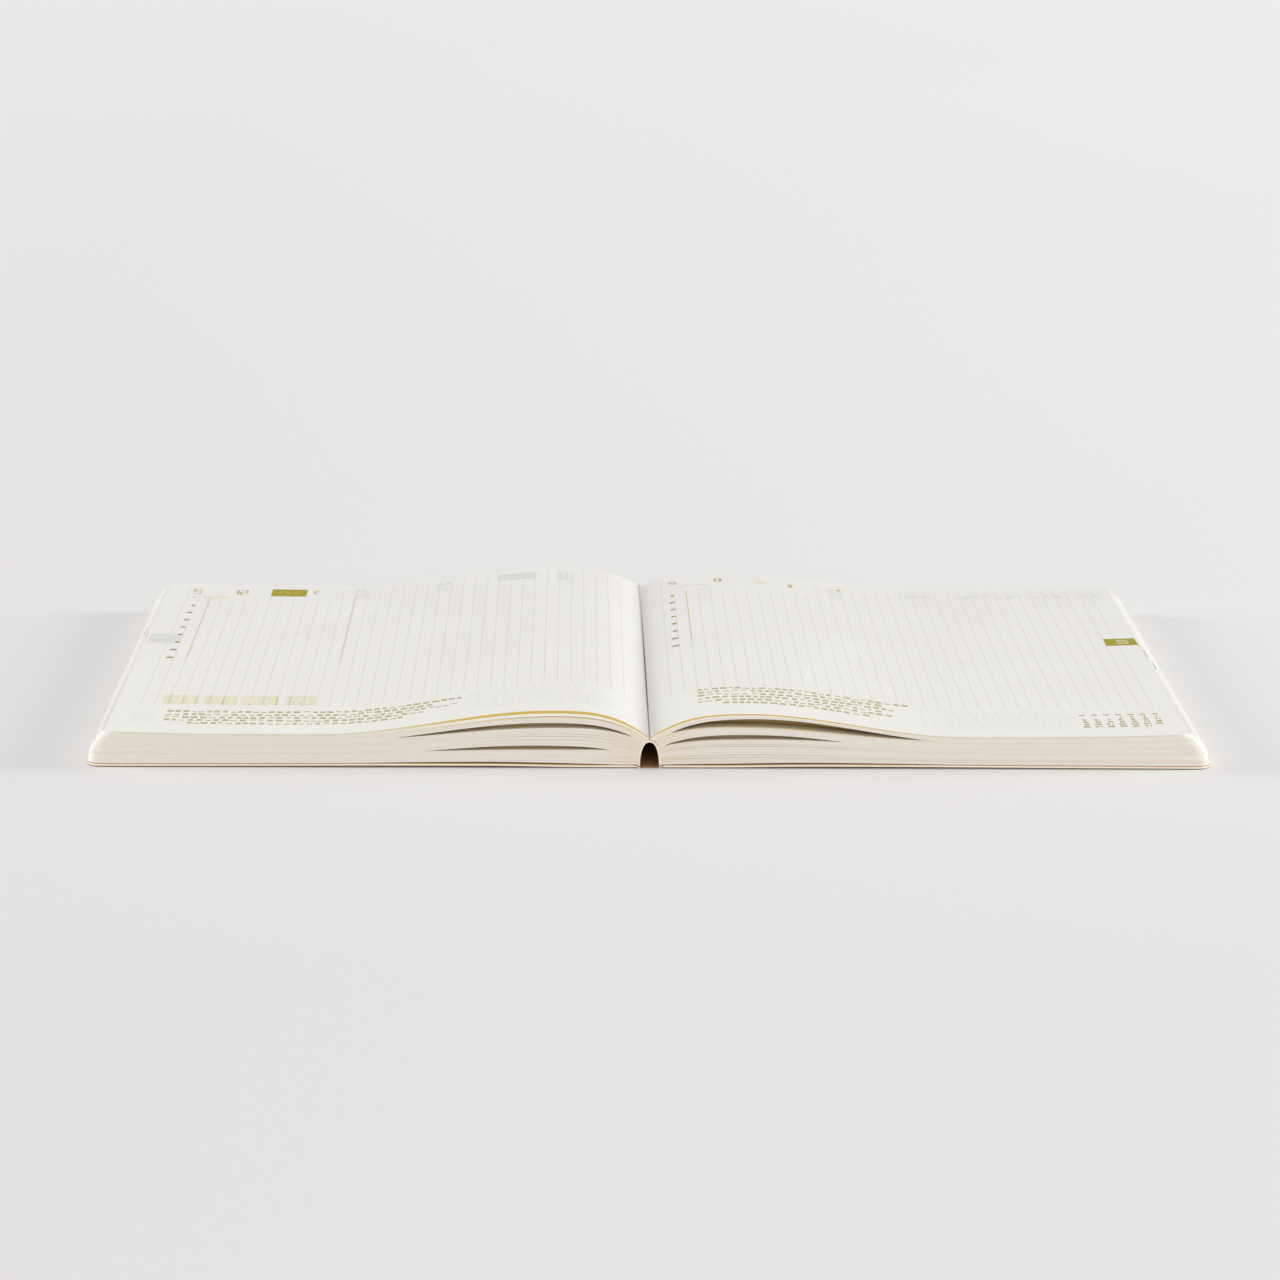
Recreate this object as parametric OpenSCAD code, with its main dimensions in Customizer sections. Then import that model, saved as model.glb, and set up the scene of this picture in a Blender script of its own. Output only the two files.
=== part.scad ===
// A thread-sewn A5 day planner with thin card covers, lying open near its middle.
// X runs across the spread, Y along the spine from the tail to the head of the pages, and Z is up.
// The origin lies on the table, under the middle of the gutter.
// Each half is drawn as a section from the gutter outwards, and the left one is mirrored.
// The leaves bulge less at the head than at the tail, so they have a section at either end.

/* [Page block] */
// Width of a page, from the spine to the trimmed fore-edge
page_w = 147; // [100:0.5:220]
// Length of a page along the spine
page_h = 210; // [120:1:300]
// Plan radius of the trimmed outer corners
corner_r = 3.6; // [1:0.1:8]
// Thickness of the block at the gutter, from the endpapers to the valley
gutter_t = 7.25; // [6:0.05:10]
// Leaves between the valley of the gutter and the arch of the spine
valley_t = 0.55; // [0.5:0.05:1.5]
// Sewn gatherings in each half
gatherings = 7; // [3:1:7]
// How far every second gathering stands back at the fore-edge
gathering_step = 0.12; // [0.05:0.01:0.3]
// Gap that parts the two halves below the valley
half_gap = 0.2; // [0.1:0.05:0.4]

/* [Left half, the front of the planner] */
// Thickness of the left leaves where they lie flat
left_leaf_t = 7.9; // [6:0.1:12]
// Rise of the left leaves from the flat part to the crest beside the gutter
left_crest_rise = 6.8; // [2:0.05:9]
// Distance of the left crest from the gutter
left_crest_at = 24; // [18:0.5:36]
// Distance from the gutter at which the left leaves lie flat
left_flat_from = 88; // [75:1:95]
// Rise of the left leaves from the flat part to the fore-edge
left_edge_rise = 0.95; // [0:0.05:2]
// How much thinner the left leaves lie at the head than at the tail
left_head_thin = 0.9; // [0:0.05:1.5]
// How much less the left crest rises at the head
left_head_fall = 0.6; // [0:0.05:3]
// Lean of the left fore-edge, from the lowest leaf to the top one
left_lean = 4.8; // [0.5:0.1:8]
// Levels of the three gaps between the left leaves, as parts of the block's height
left_gap_levels = [0.305, 0.72, 0.885]; // [0.05:0.005:0.95]
// Distances from the gutter at which these gaps start
left_gap_from = [11, 4.5, 4]; // [2:0.5:15]
// Distances from the gutter at which these gaps end
left_gap_to = [60, 68, 48]; // [40:1:80]
// Widest openings of these gaps
left_gap_open = [1.25, 1.5, 0.3]; // [0.1:0.05:3]

/* [Right half, the back of the planner] */
// Thickness of the right leaves where they lie flat
right_leaf_t = 7.6; // [6:0.1:12]
// Rise of the right leaves from the flat part to the crest beside the gutter
right_crest_rise = 6.3; // [2:0.05:9]
// Distance of the right crest from the gutter
right_crest_at = 24.5; // [18:0.5:36]
// Distance from the gutter at which the right leaves lie flat
right_flat_from = 84; // [75:1:95]
// Rise of the right leaves from the flat part to the fore-edge
right_edge_rise = 1.3; // [0:0.05:2]
// How much thinner the right leaves lie at the head than at the tail
right_head_thin = 1; // [0:0.05:1.5]
// How much less the right crest rises at the head
right_head_fall = 2; // [0:0.05:3]
// Lean of the right fore-edge, from the lowest leaf to the top one
right_lean = 5.8; // [0.5:0.1:8]
// Levels of the two gaps between the right leaves, as parts of the block's height
right_gap_levels = [0.54, 0.815]; // [0.05:0.005:0.95]
// Distances from the gutter at which these gaps start
right_gap_from = [4, 6]; // [2:0.5:15]
// Distances from the gutter at which these gaps end
right_gap_to = [52, 74]; // [40:1:80]
// Widest openings of these gaps
right_gap_open = [1.4, 2.4]; // [0.1:0.05:3]

/* [Covers] */
// Thickness of the cover card
cover_t = 0.8; // [0.5:0.05:1.5]
// Thickness of the endpaper pasted inside each cover
endpaper_t = 0.12; // [0.08:0.01:0.3]
// Free gap between an endpaper and the leaves over it
leaf_slip = 0.13; // [0.1:0.01:0.4]
// Distance from the gutter up to which a cover lies flat on the table
cover_flat_to = 16; // [10:0.5:30]
// Distance from the gutter at which a cover bows up most
cover_bow_at = 45; // [35:1:80]
// How far a cover bows up off the table
cover_bow = 0.3; // [0:0.05:0.8]

/* [Spine] */
// Half the width of the arch of the spine, over the strip's outer face
arch_half_w = 3; // [1.5:0.1:5]
// Thickness of the spine strip
spine_t = 0.45; // [0.3:0.05:0.8]
// Thickness of the gauze lining between the spine strip and the sewn folds
lining_t = 0.15; // [0.1:0.05:0.4]
// Running gap between the spine and the rounded hinge edge of a cover
hinge_gap = 0.15; // [0.1:0.05:0.4]

/* [Sewing thread] */
// Diameter of the thread
thread_d = 0.4; // [0.2:0.05:0.6]
// Running gap round the thread
thread_gap = 0.1; // [0.05:0.05:0.2]
// Length of a stitch
stitch_l = 34; // [15:1:40]
// Distance between two stitches along the fold
stitch_gap = 6; // [3:1:15]

/* [Hidden] */

// Heights over the table
bed_z = cover_t + endpaper_t + leaf_slip;
gutter_z = bed_z + gutter_t;
lining_top_z = gutter_z - valley_t;
arch_top_z = lining_top_z - lining_t;

// Distances from the gutter
gap_s = half_gap / 2;
lining_half_w = arch_half_w + lining_t;
hinge_r = cover_t / 2;
hinge_s = arch_half_w + hinge_gap + hinge_r;
reach = lining_half_w + page_w;
trim_over = 1;

// Curves of the open page: flat thickness, crest rise, crest place, start of the flat, edge rise
function head_curve(curve, thin, fall) = [curve[0] - thin, curve[1] - fall, curve[2], curve[3], curve[4]];
left_tail = [left_leaf_t, left_crest_rise, left_crest_at, left_flat_from, left_edge_rise];
left_head = head_curve(left_tail, left_head_thin, left_head_fall);
right_tail = [right_leaf_t, right_crest_rise, right_crest_at, right_flat_from, right_edge_rise];
right_head = head_curve(right_tail, right_head_thin, right_head_fall);
// Gaps between the leaves of the two halves: levels, starts, ends, openings
left_gaps = [left_gap_levels, left_gap_from, left_gap_to, left_gap_open];
right_gaps = [right_gap_levels, right_gap_from, right_gap_to, right_gap_open];
swell_power = 2.7;
lean_power = 2.3;
lens_power = 0.9;
lens_skew = 0.75;
lens_tip = 0.005;
arch_power = 0.85;

// Steps along the curves
rise_steps = 18;
rise_step_power = 1.3;
fall_steps = 20;
flat_steps = 10;
bow_steps = 24;
lens_steps = 20;
arch_steps = 16;
corner_steps = 8;

// A smooth step from 0 to 1
function ease(u) = u <= 0 ? 0 : u >= 1 ? 1 : u * u * (3 - 2 * u);

// Height of a cover's underside over the table
function bow(s) =
    cover_bow * (ease((s - cover_flat_to) / (cover_bow_at - cover_flat_to))
                 - ease((s - cover_bow_at) / (reach - cover_bow_at)));

// Height of the open page over the table, at a distance s from the gutter
function page_z(curve, s) =
    let (flat_z = bed_z + curve[0],
         crest_z = flat_z + curve[1],
         crest_s = curve[2],
         flat_s = curve[3])
    bow(s) + (s < crest_s ? crest_z - (crest_z - gutter_z) * pow(1 - s / crest_s, swell_power)
              : s < flat_s ? crest_z - curve[1] * ease((s - crest_s) / (flat_s - crest_s))
              : flat_z + curve[4] * pow((s - flat_s) / (reach - flat_s), 2));

// Height of the lowest leaf, and of a leaf at a level from 0, the lowest, to 1, the open page
function bed(s) = bed_z + bow(s);
function leaf_z(curve, level, s) = bed(s) + level * (page_z(curve, s) - bed(s));

// Distances at which the open page is drawn, closer together near the gutter
function page_stations(curve) = concat(
    [for (i = [0:rise_steps]) gap_s + (curve[2] - gap_s) * pow(i / rise_steps, rise_step_power)],
    [for (i = [1:fall_steps]) curve[2] + (curve[3] - curve[2]) * i / fall_steps],
    [for (i = [1:flat_steps]) curve[3] + (reach + trim_over - curve[3]) * i / flat_steps]);

// Distances at which a bowed cover is drawn
cover_stations = concat([for (i = [0:bow_steps]) cover_flat_to + (reach - cover_flat_to) * i / bow_steps],
                        [reach + trim_over]);

// One side of a full arch, from the height of the lowest leaf up to the gap in the gutter
function arch(half_w, top_z) =
    let (low = asin(pow(bed_z / top_z, 1 / arch_power)),
         high = acos(pow(gap_s / half_w, 1 / arch_power)))
    [for (i = [0:arch_steps]) let (a = low + (high - low) * i / arch_steps)
        [half_w * pow(cos(a), arch_power), top_z * pow(sin(a), arch_power)]];

// The points of a list from the last to the first
function reversed(points) = [for (i = [len(points) - 1:-1:0]) points[i]];

// Outline of one half in plan, with its two outer corners rounded
function half_plan(edge_s) = concat(
    [[0, -page_h / 2]],
    [for (i = [0:corner_steps]) let (a = -90 + 90 * i / corner_steps)
        [edge_s - corner_r + corner_r * cos(a), corner_r - page_h / 2 + corner_r * sin(a)]],
    [for (i = [0:corner_steps]) let (a = 90 * i / corner_steps)
        [edge_s - corner_r + corner_r * cos(a), page_h / 2 - corner_r + corner_r * sin(a)]],
    [[0, page_h / 2]]);

// Turns a section, drawn as distance and height, into a solid along the whole spine
module along_spine() {
    rotate([90, 0, 0])
        translate([0, 0, -page_h / 2])
            linear_extrude(height = page_h)
                children();
}

// A ribbon from one section at the tail to one at the head, running on past both by a little.
// A section is a list of heights above and one of heights below, at the same distances.
module ribbon(stations, tail, head, over) {
    n = len(stations);
    last = n - 1;
    end_y = page_h / 2 + over;
    part_over = over / page_h;
    near = [for (side = [0, 1]) tail[side] + (tail[side] - head[side]) * part_over];
    far = [for (side = [0, 1]) head[side] + (head[side] - tail[side]) * part_over];
    points = concat([for (side = [0, 1]) for (i = [0:last]) [stations[i], -end_y, near[side][i]]],
                    [for (side = [0, 1]) for (i = [0:last]) [stations[i], end_y, far[side][i]]]);
    tail_end = [for (i = [0:last - 1]) [i, i + 1, n + i + 1, n + i]];
    head_end = [for (i = [0:last - 1]) [2 * n + i + 1, 2 * n + i, 3 * n + i, 3 * n + i + 1]];
    above = [for (i = [0:last - 1]) for (k = [0, 1])
        [i, 2 * n + i + k, k == 0 ? 2 * n + i + 1 : i + 1]];
    below = [for (i = [0:last - 1]) for (k = [0, 1])
        [n + i, k == 0 ? n + i + 1 : 3 * n + i + 1, 3 * n + i + 1 - k]];
    sides = [[3 * n, 2 * n, 0, n], [n + last, last, 2 * n + last, 3 * n + last]];
    polyhedron(points, concat(tail_end, head_end, above, below, sides));
}

// Trims a pasted or cut sheet to the outline of the planner
module trimmed() {
    intersection() {
        along_spine() children();
        linear_extrude(height = gutter_z)
            polygon(half_plan(reach));
    }
}

// Space that a half's leaves fill: each gathering leans in a little more than the one below it
module fore_edge_space(curve, lean) {
    edge_t = page_z(curve, reach) - bed_z;
    plate_t = 0.001;
    for (k = [0:gatherings - 1]) {
        back = gathering_step * (k % 2);
        low_s = reach - back - lean * pow(k / gatherings, lean_power);
        high_s = reach - back - lean * pow((k + 1) / gatherings, lean_power);
        top_z = k == gatherings - 1 ? edge_t + curve[1] : edge_t * (k + 1) / gatherings;
        translate([0, 0, bed_z])
            hull() {
                translate([0, 0, edge_t * k / gatherings])
                    linear_extrude(height = plate_t)
                        polygon(half_plan(low_s));
                translate([0, 0, edge_t * (k + 1) / gatherings - plate_t])
                    linear_extrude(height = plate_t)
                        polygon(half_plan(high_s));
                translate([0, 0, top_z - plate_t])
                    linear_extrude(height = plate_t)
                        polygon(half_plan(high_s));
            }
    }
}

// Gap where two leaves bulge apart, widest a little nearer to the gutter
module leaf_gap(tail, head, level, from, to, open) {
    stations = [for (i = [0:lens_steps]) from + (to - from) * i / lens_steps];
    half_open = [for (i = [0:lens_steps])
        max(lens_tip, open / 2 * pow(sin(180 * pow(i / lens_steps, lens_skew)), lens_power))];
    sections = [for (curve = [tail, head])
        let (middle = [for (s = stations) leaf_z(curve, level, s)])
        [middle + half_open, middle - half_open]];
    ribbon(stations, sections[0], sections[1], trim_over);
}

// Everything under the open page of one half, down to the table
module page_body(tail, head) {
    stations = page_stations(tail);
    table = [for (s = stations) 0];
    ribbon(stations,
           [[for (s = stations) page_z(tail, s)], table],
           [[for (s = stations) page_z(head, s)], table],
           trim_over);
}

// One half of the page block: all its leaves are one solid, with the gaps where they bulge apart
module leaves(tail, head, lean, gaps) {
    lowest_leaf = [for (s = cover_stations) [s, bed(s)]];
    ceiling_z = bed_z + tail[0] + tail[1] + trim_over;
    ceiling = [[gap_s, ceiling_z], [reach + trim_over, ceiling_z]];
    difference() {
        intersection() {
            page_body(tail, head);
            along_spine()
                polygon(concat(ceiling, reversed(lowest_leaf), arch(lining_half_w, lining_top_z)));
            fore_edge_space(tail, lean);
        }
        for (i = [0:len(gaps[0]) - 1])
            leaf_gap(tail, head, gaps[0][i], gaps[1][i], gaps[2][i], gaps[3][i]);
        thread_bore();
    }
}

// Room for the thread in the valley of the gutter
module thread_bore() {
    translate([0, 0, gutter_z])
        rotate([90, 0, 0])
            cylinder(h = page_h + 2 * trim_over, d = thread_d + 2 * thread_gap, center = true, $fn = 32);
}

// Half of an arched strip over the spine's hollow; a strip with a foot stands on the table
module arched_strip(half_w, top_z, thickness, has_foot) {
    inner_half_w = half_w - thickness;
    outer = arch(half_w, top_z);
    inner = arch(inner_half_w, top_z - thickness);
    foot = has_foot ? [[inner_half_w, 0], [half_w, 0]] : [];
    along_spine()
        polygon(concat(outer, reversed(inner), foot));
}

// Cover card, bowed off the table, with a round edge on the axis about which it swings
module cover_card() {
    under = concat([[hinge_s, 0]], [for (s = cover_stations) [s, bow(s)]]);
    over = [for (p = under) [p[0], p[1] + cover_t]];
    trimmed() {
        polygon(concat(under, reversed(over)));
        translate([hinge_s, hinge_r])
            circle(r = hinge_r, $fn = 32);
    }
}

// Endpaper pasted on the inside of a cover
module endpaper() {
    under = [for (s = concat([hinge_s + hinge_r], cover_stations)) [s, bow(s) + cover_t]];
    over = [for (p = under) [p[0], p[1] + endpaper_t]];
    trimmed()
        polygon(concat(under, reversed(over)));
}

module left_pages() {
    color("ivory")
        mirror([1, 0, 0])
            leaves(left_tail, left_head, left_lean, left_gaps);
}

module right_pages() {
    color("ivory")
        leaves(right_tail, right_head, right_lean, right_gaps);
}

// The stitches of the middle gathering lie in the valley, which is also the axis of the binding
module sewing_thread() {
    pitch = stitch_l + stitch_gap;
    count = floor((page_h - stitch_gap) / pitch);
    color("tan")
        for (i = [0:count - 1])
            translate([0, (i - (count - 1) / 2) * pitch, gutter_z])
                rotate([90, 0, 0])
                    cylinder(h = stitch_l, d = thread_d, center = true, $fn = 32);
}

module spine_lining_left() {
    color("wheat")
        mirror([1, 0, 0])
            arched_strip(lining_half_w, lining_top_z, lining_t, false);
}

module spine_lining_right() {
    color("wheat")
        arched_strip(lining_half_w, lining_top_z, lining_t, false);
}

module cover_spine_left() {
    color("floralwhite")
        mirror([1, 0, 0])
            arched_strip(arch_half_w, arch_top_z, spine_t, true);
}

module cover_spine_right() {
    color("floralwhite")
        arched_strip(arch_half_w, arch_top_z, spine_t, true);
}

module front_cover() {
    color("floralwhite")
        mirror([1, 0, 0])
            cover_card();
}

module back_cover() {
    color("floralwhite")
        cover_card();
}

module front_endpaper() {
    color("linen")
        mirror([1, 0, 0])
            endpaper();
}

module back_endpaper() {
    color("linen")
        endpaper();
}

left_pages();
right_pages();
sewing_thread();
spine_lining_left();
spine_lining_right();
cover_spine_left();
cover_spine_right();
front_cover();
back_cover();
front_endpaper();
back_endpaper();
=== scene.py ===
"""A day planner lying open: thin leaves, generic print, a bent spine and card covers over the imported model.

Sections are drawn in millimetres, as distance from the gutter and height over the table, as in the model's
source. The left half is mirrored.
"""
import math

import bpy
import numpy as np
from mathutils import Matrix, Vector

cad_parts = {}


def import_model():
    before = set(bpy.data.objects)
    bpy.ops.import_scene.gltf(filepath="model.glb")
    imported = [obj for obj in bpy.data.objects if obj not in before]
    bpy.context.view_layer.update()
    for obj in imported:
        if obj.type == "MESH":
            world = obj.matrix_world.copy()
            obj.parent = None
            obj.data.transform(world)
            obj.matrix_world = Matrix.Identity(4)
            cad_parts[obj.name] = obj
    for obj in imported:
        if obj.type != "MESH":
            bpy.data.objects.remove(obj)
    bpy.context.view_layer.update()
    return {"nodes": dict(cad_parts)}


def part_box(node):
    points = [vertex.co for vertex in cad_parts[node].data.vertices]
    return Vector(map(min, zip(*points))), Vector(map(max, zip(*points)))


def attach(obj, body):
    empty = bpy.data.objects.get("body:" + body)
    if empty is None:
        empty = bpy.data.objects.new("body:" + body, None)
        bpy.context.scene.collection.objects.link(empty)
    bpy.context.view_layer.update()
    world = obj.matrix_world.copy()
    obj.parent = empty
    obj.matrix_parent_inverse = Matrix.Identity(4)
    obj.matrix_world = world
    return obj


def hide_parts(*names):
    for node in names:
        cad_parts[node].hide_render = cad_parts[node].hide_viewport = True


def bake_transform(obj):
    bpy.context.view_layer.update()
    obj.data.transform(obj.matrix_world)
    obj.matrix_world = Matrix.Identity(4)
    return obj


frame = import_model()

MM = 0.001
rng = np.random.default_rng(11)

# ---------------------------------------------------------------- sizes, in millimetres
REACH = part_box("back_cover")[1].x / MM
HALF_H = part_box("back_cover")[1].y / MM
COVER_T, ENDPAPER_T, LEAF_SLIP = 0.8, 0.12, 0.13
# the brown outer layer of a cover, and how far it stands back from the card's edges
KRAFT_T, RIM = 0.36, 1.5
BED_Z = COVER_T + ENDPAPER_T + LEAF_SLIP
GUTTER_Z = BED_Z + 7.25
LINING_HALF_W, LINING_TOP_Z, LINING_T = 3.15, GUTTER_Z - 0.55, 0.15
ARCH_HALF_W, ARCH_TOP_Z, SPINE_T, ARCH_POWER = 3.0, LINING_TOP_Z - LINING_T, 0.45, 0.85
HINGE_S = 3.55
GAP_S = 0.1
CORNER_R = 3.6
COVER_FLAT_TO, COVER_BOW_AT, COVER_BOW = 16, 45, 0.3
LEAVES = 112
SWELL_POWER, LEAN_POWER = 2.7, 2.3
LENS_SKEW, LENS_POWER = 0.75, 0.9
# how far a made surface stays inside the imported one
UNDER = 0.02

# crest, flat and the gaps' ends are distances from the gutter, and lean is how far the top leaf stands back;
# leaf_t and rise are given at the tail and at the head; a gap has a level, a start, an end and an opening
LEFT = {
    "name": "left", "side": -1, "leaf_t": (7.9, 7.0), "rise": (6.8, 6.2), "crest": 24, "flat": 88,
    "edge": 0.95, "lean": 4.8, "gatherings": 7,
    "gaps": [[0.305, 11, 60, 1.25], [0.72, 4.5, 68, 1.5], [0.885, 4, 48, 0.14]],
    "slip_gap": [10, 78, 0.38],
}
RIGHT = {
    "name": "right", "side": 1, "leaf_t": (7.6, 6.6), "rise": (6.3, 4.3), "crest": 24.5, "flat": 84,
    "edge": 1.3, "lean": 5.8, "gatherings": 7,
    "gaps": [[0.54, 4, 52, 1.4], [0.815, 6, 74, 2.4]],
    "slip_gap": [4, 80, 0.36],
}
# the leaves' fore-edges stand back in steps, from the lowest to the top ones; inside a step, each leaf
# follows its own level by a small share
STEPS = [0.0, 0.2, 0.38, 0.52, 0.64, 0.74, 0.83, 0.9, 0.955]
OWN_SHARE = 0.15
# widths of the mesh's runs across a page: they grow from the gutter to the crest, then keep two widths
RUN_AT_GUTTER, RUN_GROWTH, RUN_MIN, RUN_MAX = 0.25, 0.12, 0.3, 2.2
CREST_TO, CREST_RUN, SLOPE_TO, SLOPE_RUN = 34, 2.6, 88, 6.0


def ease(u):
    u = np.clip(u, 0, 1)
    return u * u * (3 - 2 * u)


def bed(s):
    """Height of the lowest leaf over the bowed cover."""
    s = np.asarray(s, float)
    up = ease((s - COVER_FLAT_TO) / (COVER_BOW_AT - COVER_FLAT_TO))
    down = ease((s - COVER_BOW_AT) / (REACH - COVER_BOW_AT))
    return BED_Z + COVER_BOW * (up - down)


def page_z(half, s, at=0.0):
    """Height of the open page; at is 0 at the tail and 1 at the head, where it lies flatter."""
    s = np.asarray(s, float)
    leaf_t, rise = (half[key][0] + (half[key][1] - half[key][0]) * at for key in ("leaf_t", "rise"))
    flat_z = BED_Z + leaf_t
    crest_z = flat_z + rise
    near = crest_z - (crest_z - GUTTER_Z) * (1 - np.clip(s / half["crest"], 0, 1)) ** SWELL_POWER
    fall = crest_z - rise * ease((s - half["crest"]) / (half["flat"] - half["crest"]))
    far = flat_z + half["edge"] * (np.clip(s - half["flat"], 0, None) / (REACH - half["flat"])) ** 2
    return bed(s) - BED_Z + np.where(s < half["crest"], near, np.where(s < half["flat"], fall, far))


def lens(s, start, end, opening):
    """Opening of a gap where two leaves bulge apart."""
    u = np.clip((np.asarray(s, float) - start) / (end - start), 0, 1)
    return opening * np.sin(np.pi * u ** LENS_SKEW) ** LENS_POWER


def arch_z(s, half_w, top_z):
    """Height of a full arch at a distance from the gutter."""
    return top_z * np.clip(1 - (s / half_w) ** (2 / ARCH_POWER), 0, 1) ** (ARCH_POWER / 2)


def shared_stations():
    """Distances from the gutter at which all leaves and all print have their vertices."""
    out, s = [], GAP_S
    while s < REACH:
        out.append(s)
        if s < CREST_TO:
            s += min(max(RUN_AT_GUTTER + RUN_GROWTH * s, RUN_MIN), RUN_MAX)
        else:
            s += CREST_RUN if s < SLOPE_TO else SLOPE_RUN
    return np.array(out)


STATIONS = shared_stations()


def page_top(half, s, at):
    """Height of the top leaf as it is meshed, with straight runs between the stations."""
    knots = np.append(STATIONS, REACH + SLOPE_RUN)
    tail, head = (np.interp(s, knots, page_z(half, knots, end)) for end in (0.0, 1.0))
    return tail + (head - tail) * at - UNDER


def along(y):
    """Place along the spine, from 0 at the tail to 1 at the head."""
    return (np.asarray(y, float) / HALF_H + 1) / 2


def leaf_reach(half, level):
    """Distance of a leaf's fore-edge from the gutter: the leaves of a step nearly share one."""
    step = int(np.searchsorted(STEPS, level, "right")) - 1
    top = step == len(STEPS) - 1
    shared = 1.0 if top else (STEPS[step] + STEPS[step + 1]) / 2
    own = 0.0 if top else OWN_SHARE * (level - shared)
    return REACH - half["lean"] * (shared + own) ** LEAN_POWER


# ---------------------------------------------------------------- mesh helper
class Build:
    """Collects vertices, faces and material numbers in millimetres, and makes one object of them."""

    def __init__(self, side=1):
        self.side, self.count = side, 0
        self.points, self.faces, self.slots, self.warm, self.tone = [], [], [], [], []

    def add(self, points, faces, slots, warm=None, tone=None):
        points = np.asarray(points, float)
        self.points.append(points)
        for face in faces:
            face = [int(k) + self.count for k in face]
            self.faces.append(face if self.side > 0 else face[::-1])
        self.slots += list(slots) if hasattr(slots, "__len__") else [slots] * len(faces)
        self.warm.append(np.zeros(len(points)) if warm is None else np.broadcast_to(warm, len(points)))
        self.tone.append(np.zeros(len(points)) if tone is None else np.broadcast_to(tone, len(points)))
        self.count += len(points)

    def strip(self, s, low, high, y, slot, edge_slot=None, warm=None, tone=None, turn=0, turn_slot=0):
        """A closed sheet. s runs outwards; low, high and y have a row for each place along the spine.
        The upper side and ends of the outermost turn segments have turn_slot."""
        y = np.asarray(y, float)
        rows, n = y.shape
        s, low, high = (np.broadcast_to(a, (rows, n)) for a in (s, low, high))
        grids = [np.stack([s * self.side, y, z], axis=2).reshape(-1, 3) for z in (low, high)]
        top, last, back = rows * n, n - 1, (rows - 1) * n
        edge = slot if edge_slot is None else edge_slot
        outer = edge if turn == 0 else turn_slot
        faces, slots = [], []
        for i in range(last):
            for r in range(rows - 1):
                a, d = r * n + i, (r + 1) * n + i
                faces += [(top + a, top + a + 1, top + d + 1, top + d), (a, d, d + 1, a + 1)]
                slots += [turn_slot if i >= last - turn else slot, slot]
            b = back + i
            faces += [(i, i + 1, top + i + 1, top + i), (b, top + b, top + b + 1, b + 1)]
            slots += [outer if i >= last - turn else edge] * 2
        for r in range(rows - 1):
            a, d = r * n, (r + 1) * n
            faces += [(a + last, d + last, top + d + last, top + a + last), (a, top + a, top + d, d)]
            slots += [outer, edge]
        rep = None if warm is None else np.tile(warm, 2 * rows)
        self.add(np.vstack(grids), faces, slots, rep, tone)

    def sheet(self, low, high, y0, y1, head_rise=0.0):
        """A closed sheet between two rows of (x, z) points that may also run back on themselves."""
        upper_slot, edge_slot, under_slot = 0, 1, 2
        n = len(low)
        rows = [np.column_stack([sec[:, 0] * self.side, np.full(n, y), sec[:, 1] + rise])
                for sec in (low, high) for y, rise in ((y0, 0.0), (y1, head_rise))]
        a, b, c, d = (k * n for k in range(4))
        faces, slots = [], []
        for i in range(n - 1):
            j = i + 1
            faces += [(c + i, c + j, d + j, d + i), (a + i, b + i, b + j, a + j),
                      (a + i, a + j, c + j, c + i), (b + i, d + i, d + j, b + j)]
            slots += [upper_slot, under_slot, edge_slot, edge_slot]
        e = n - 1
        faces += [(a + e, b + e, d + e, c + e), (a, c, d, b)]
        self.add(np.vstack(rows), faces, slots + [edge_slot] * 2)

    def make(self, name, materials, sharp=math.radians(35)):
        mesh = bpy.data.meshes.new(name)
        mesh.from_pydata((np.vstack(self.points) * MM).tolist(), [], self.faces)
        for m in materials:
            mesh.materials.append(m)
        mesh.polygons.foreach_set("material_index", self.slots)
        mesh.polygons.foreach_set("use_smooth", [True] * len(self.faces))
        for key, rows in (("warm", self.warm), ("tone", self.tone)):
            values = np.concatenate(rows).astype(np.float32)
            mesh.attributes.new(key, "FLOAT", "POINT").data.foreach_set("value", values)
        mesh.set_sharp_from_angle(angle=sharp)
        mesh.validate()
        obj = bpy.data.objects.new(name, mesh)
        bpy.context.scene.collection.objects.link(obj)
        return obj


# ---------------------------------------------------------------- materials
def srgb(*rgb):
    """Linear colour from 0 to 255 screen values."""
    c = np.array(rgb, float) / 255
    lin = np.where(c <= 0.04045, c / 12.92, ((c + 0.055) / 1.055) ** 2.4)
    return (*[float(x) for x in lin], 1.0)


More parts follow.
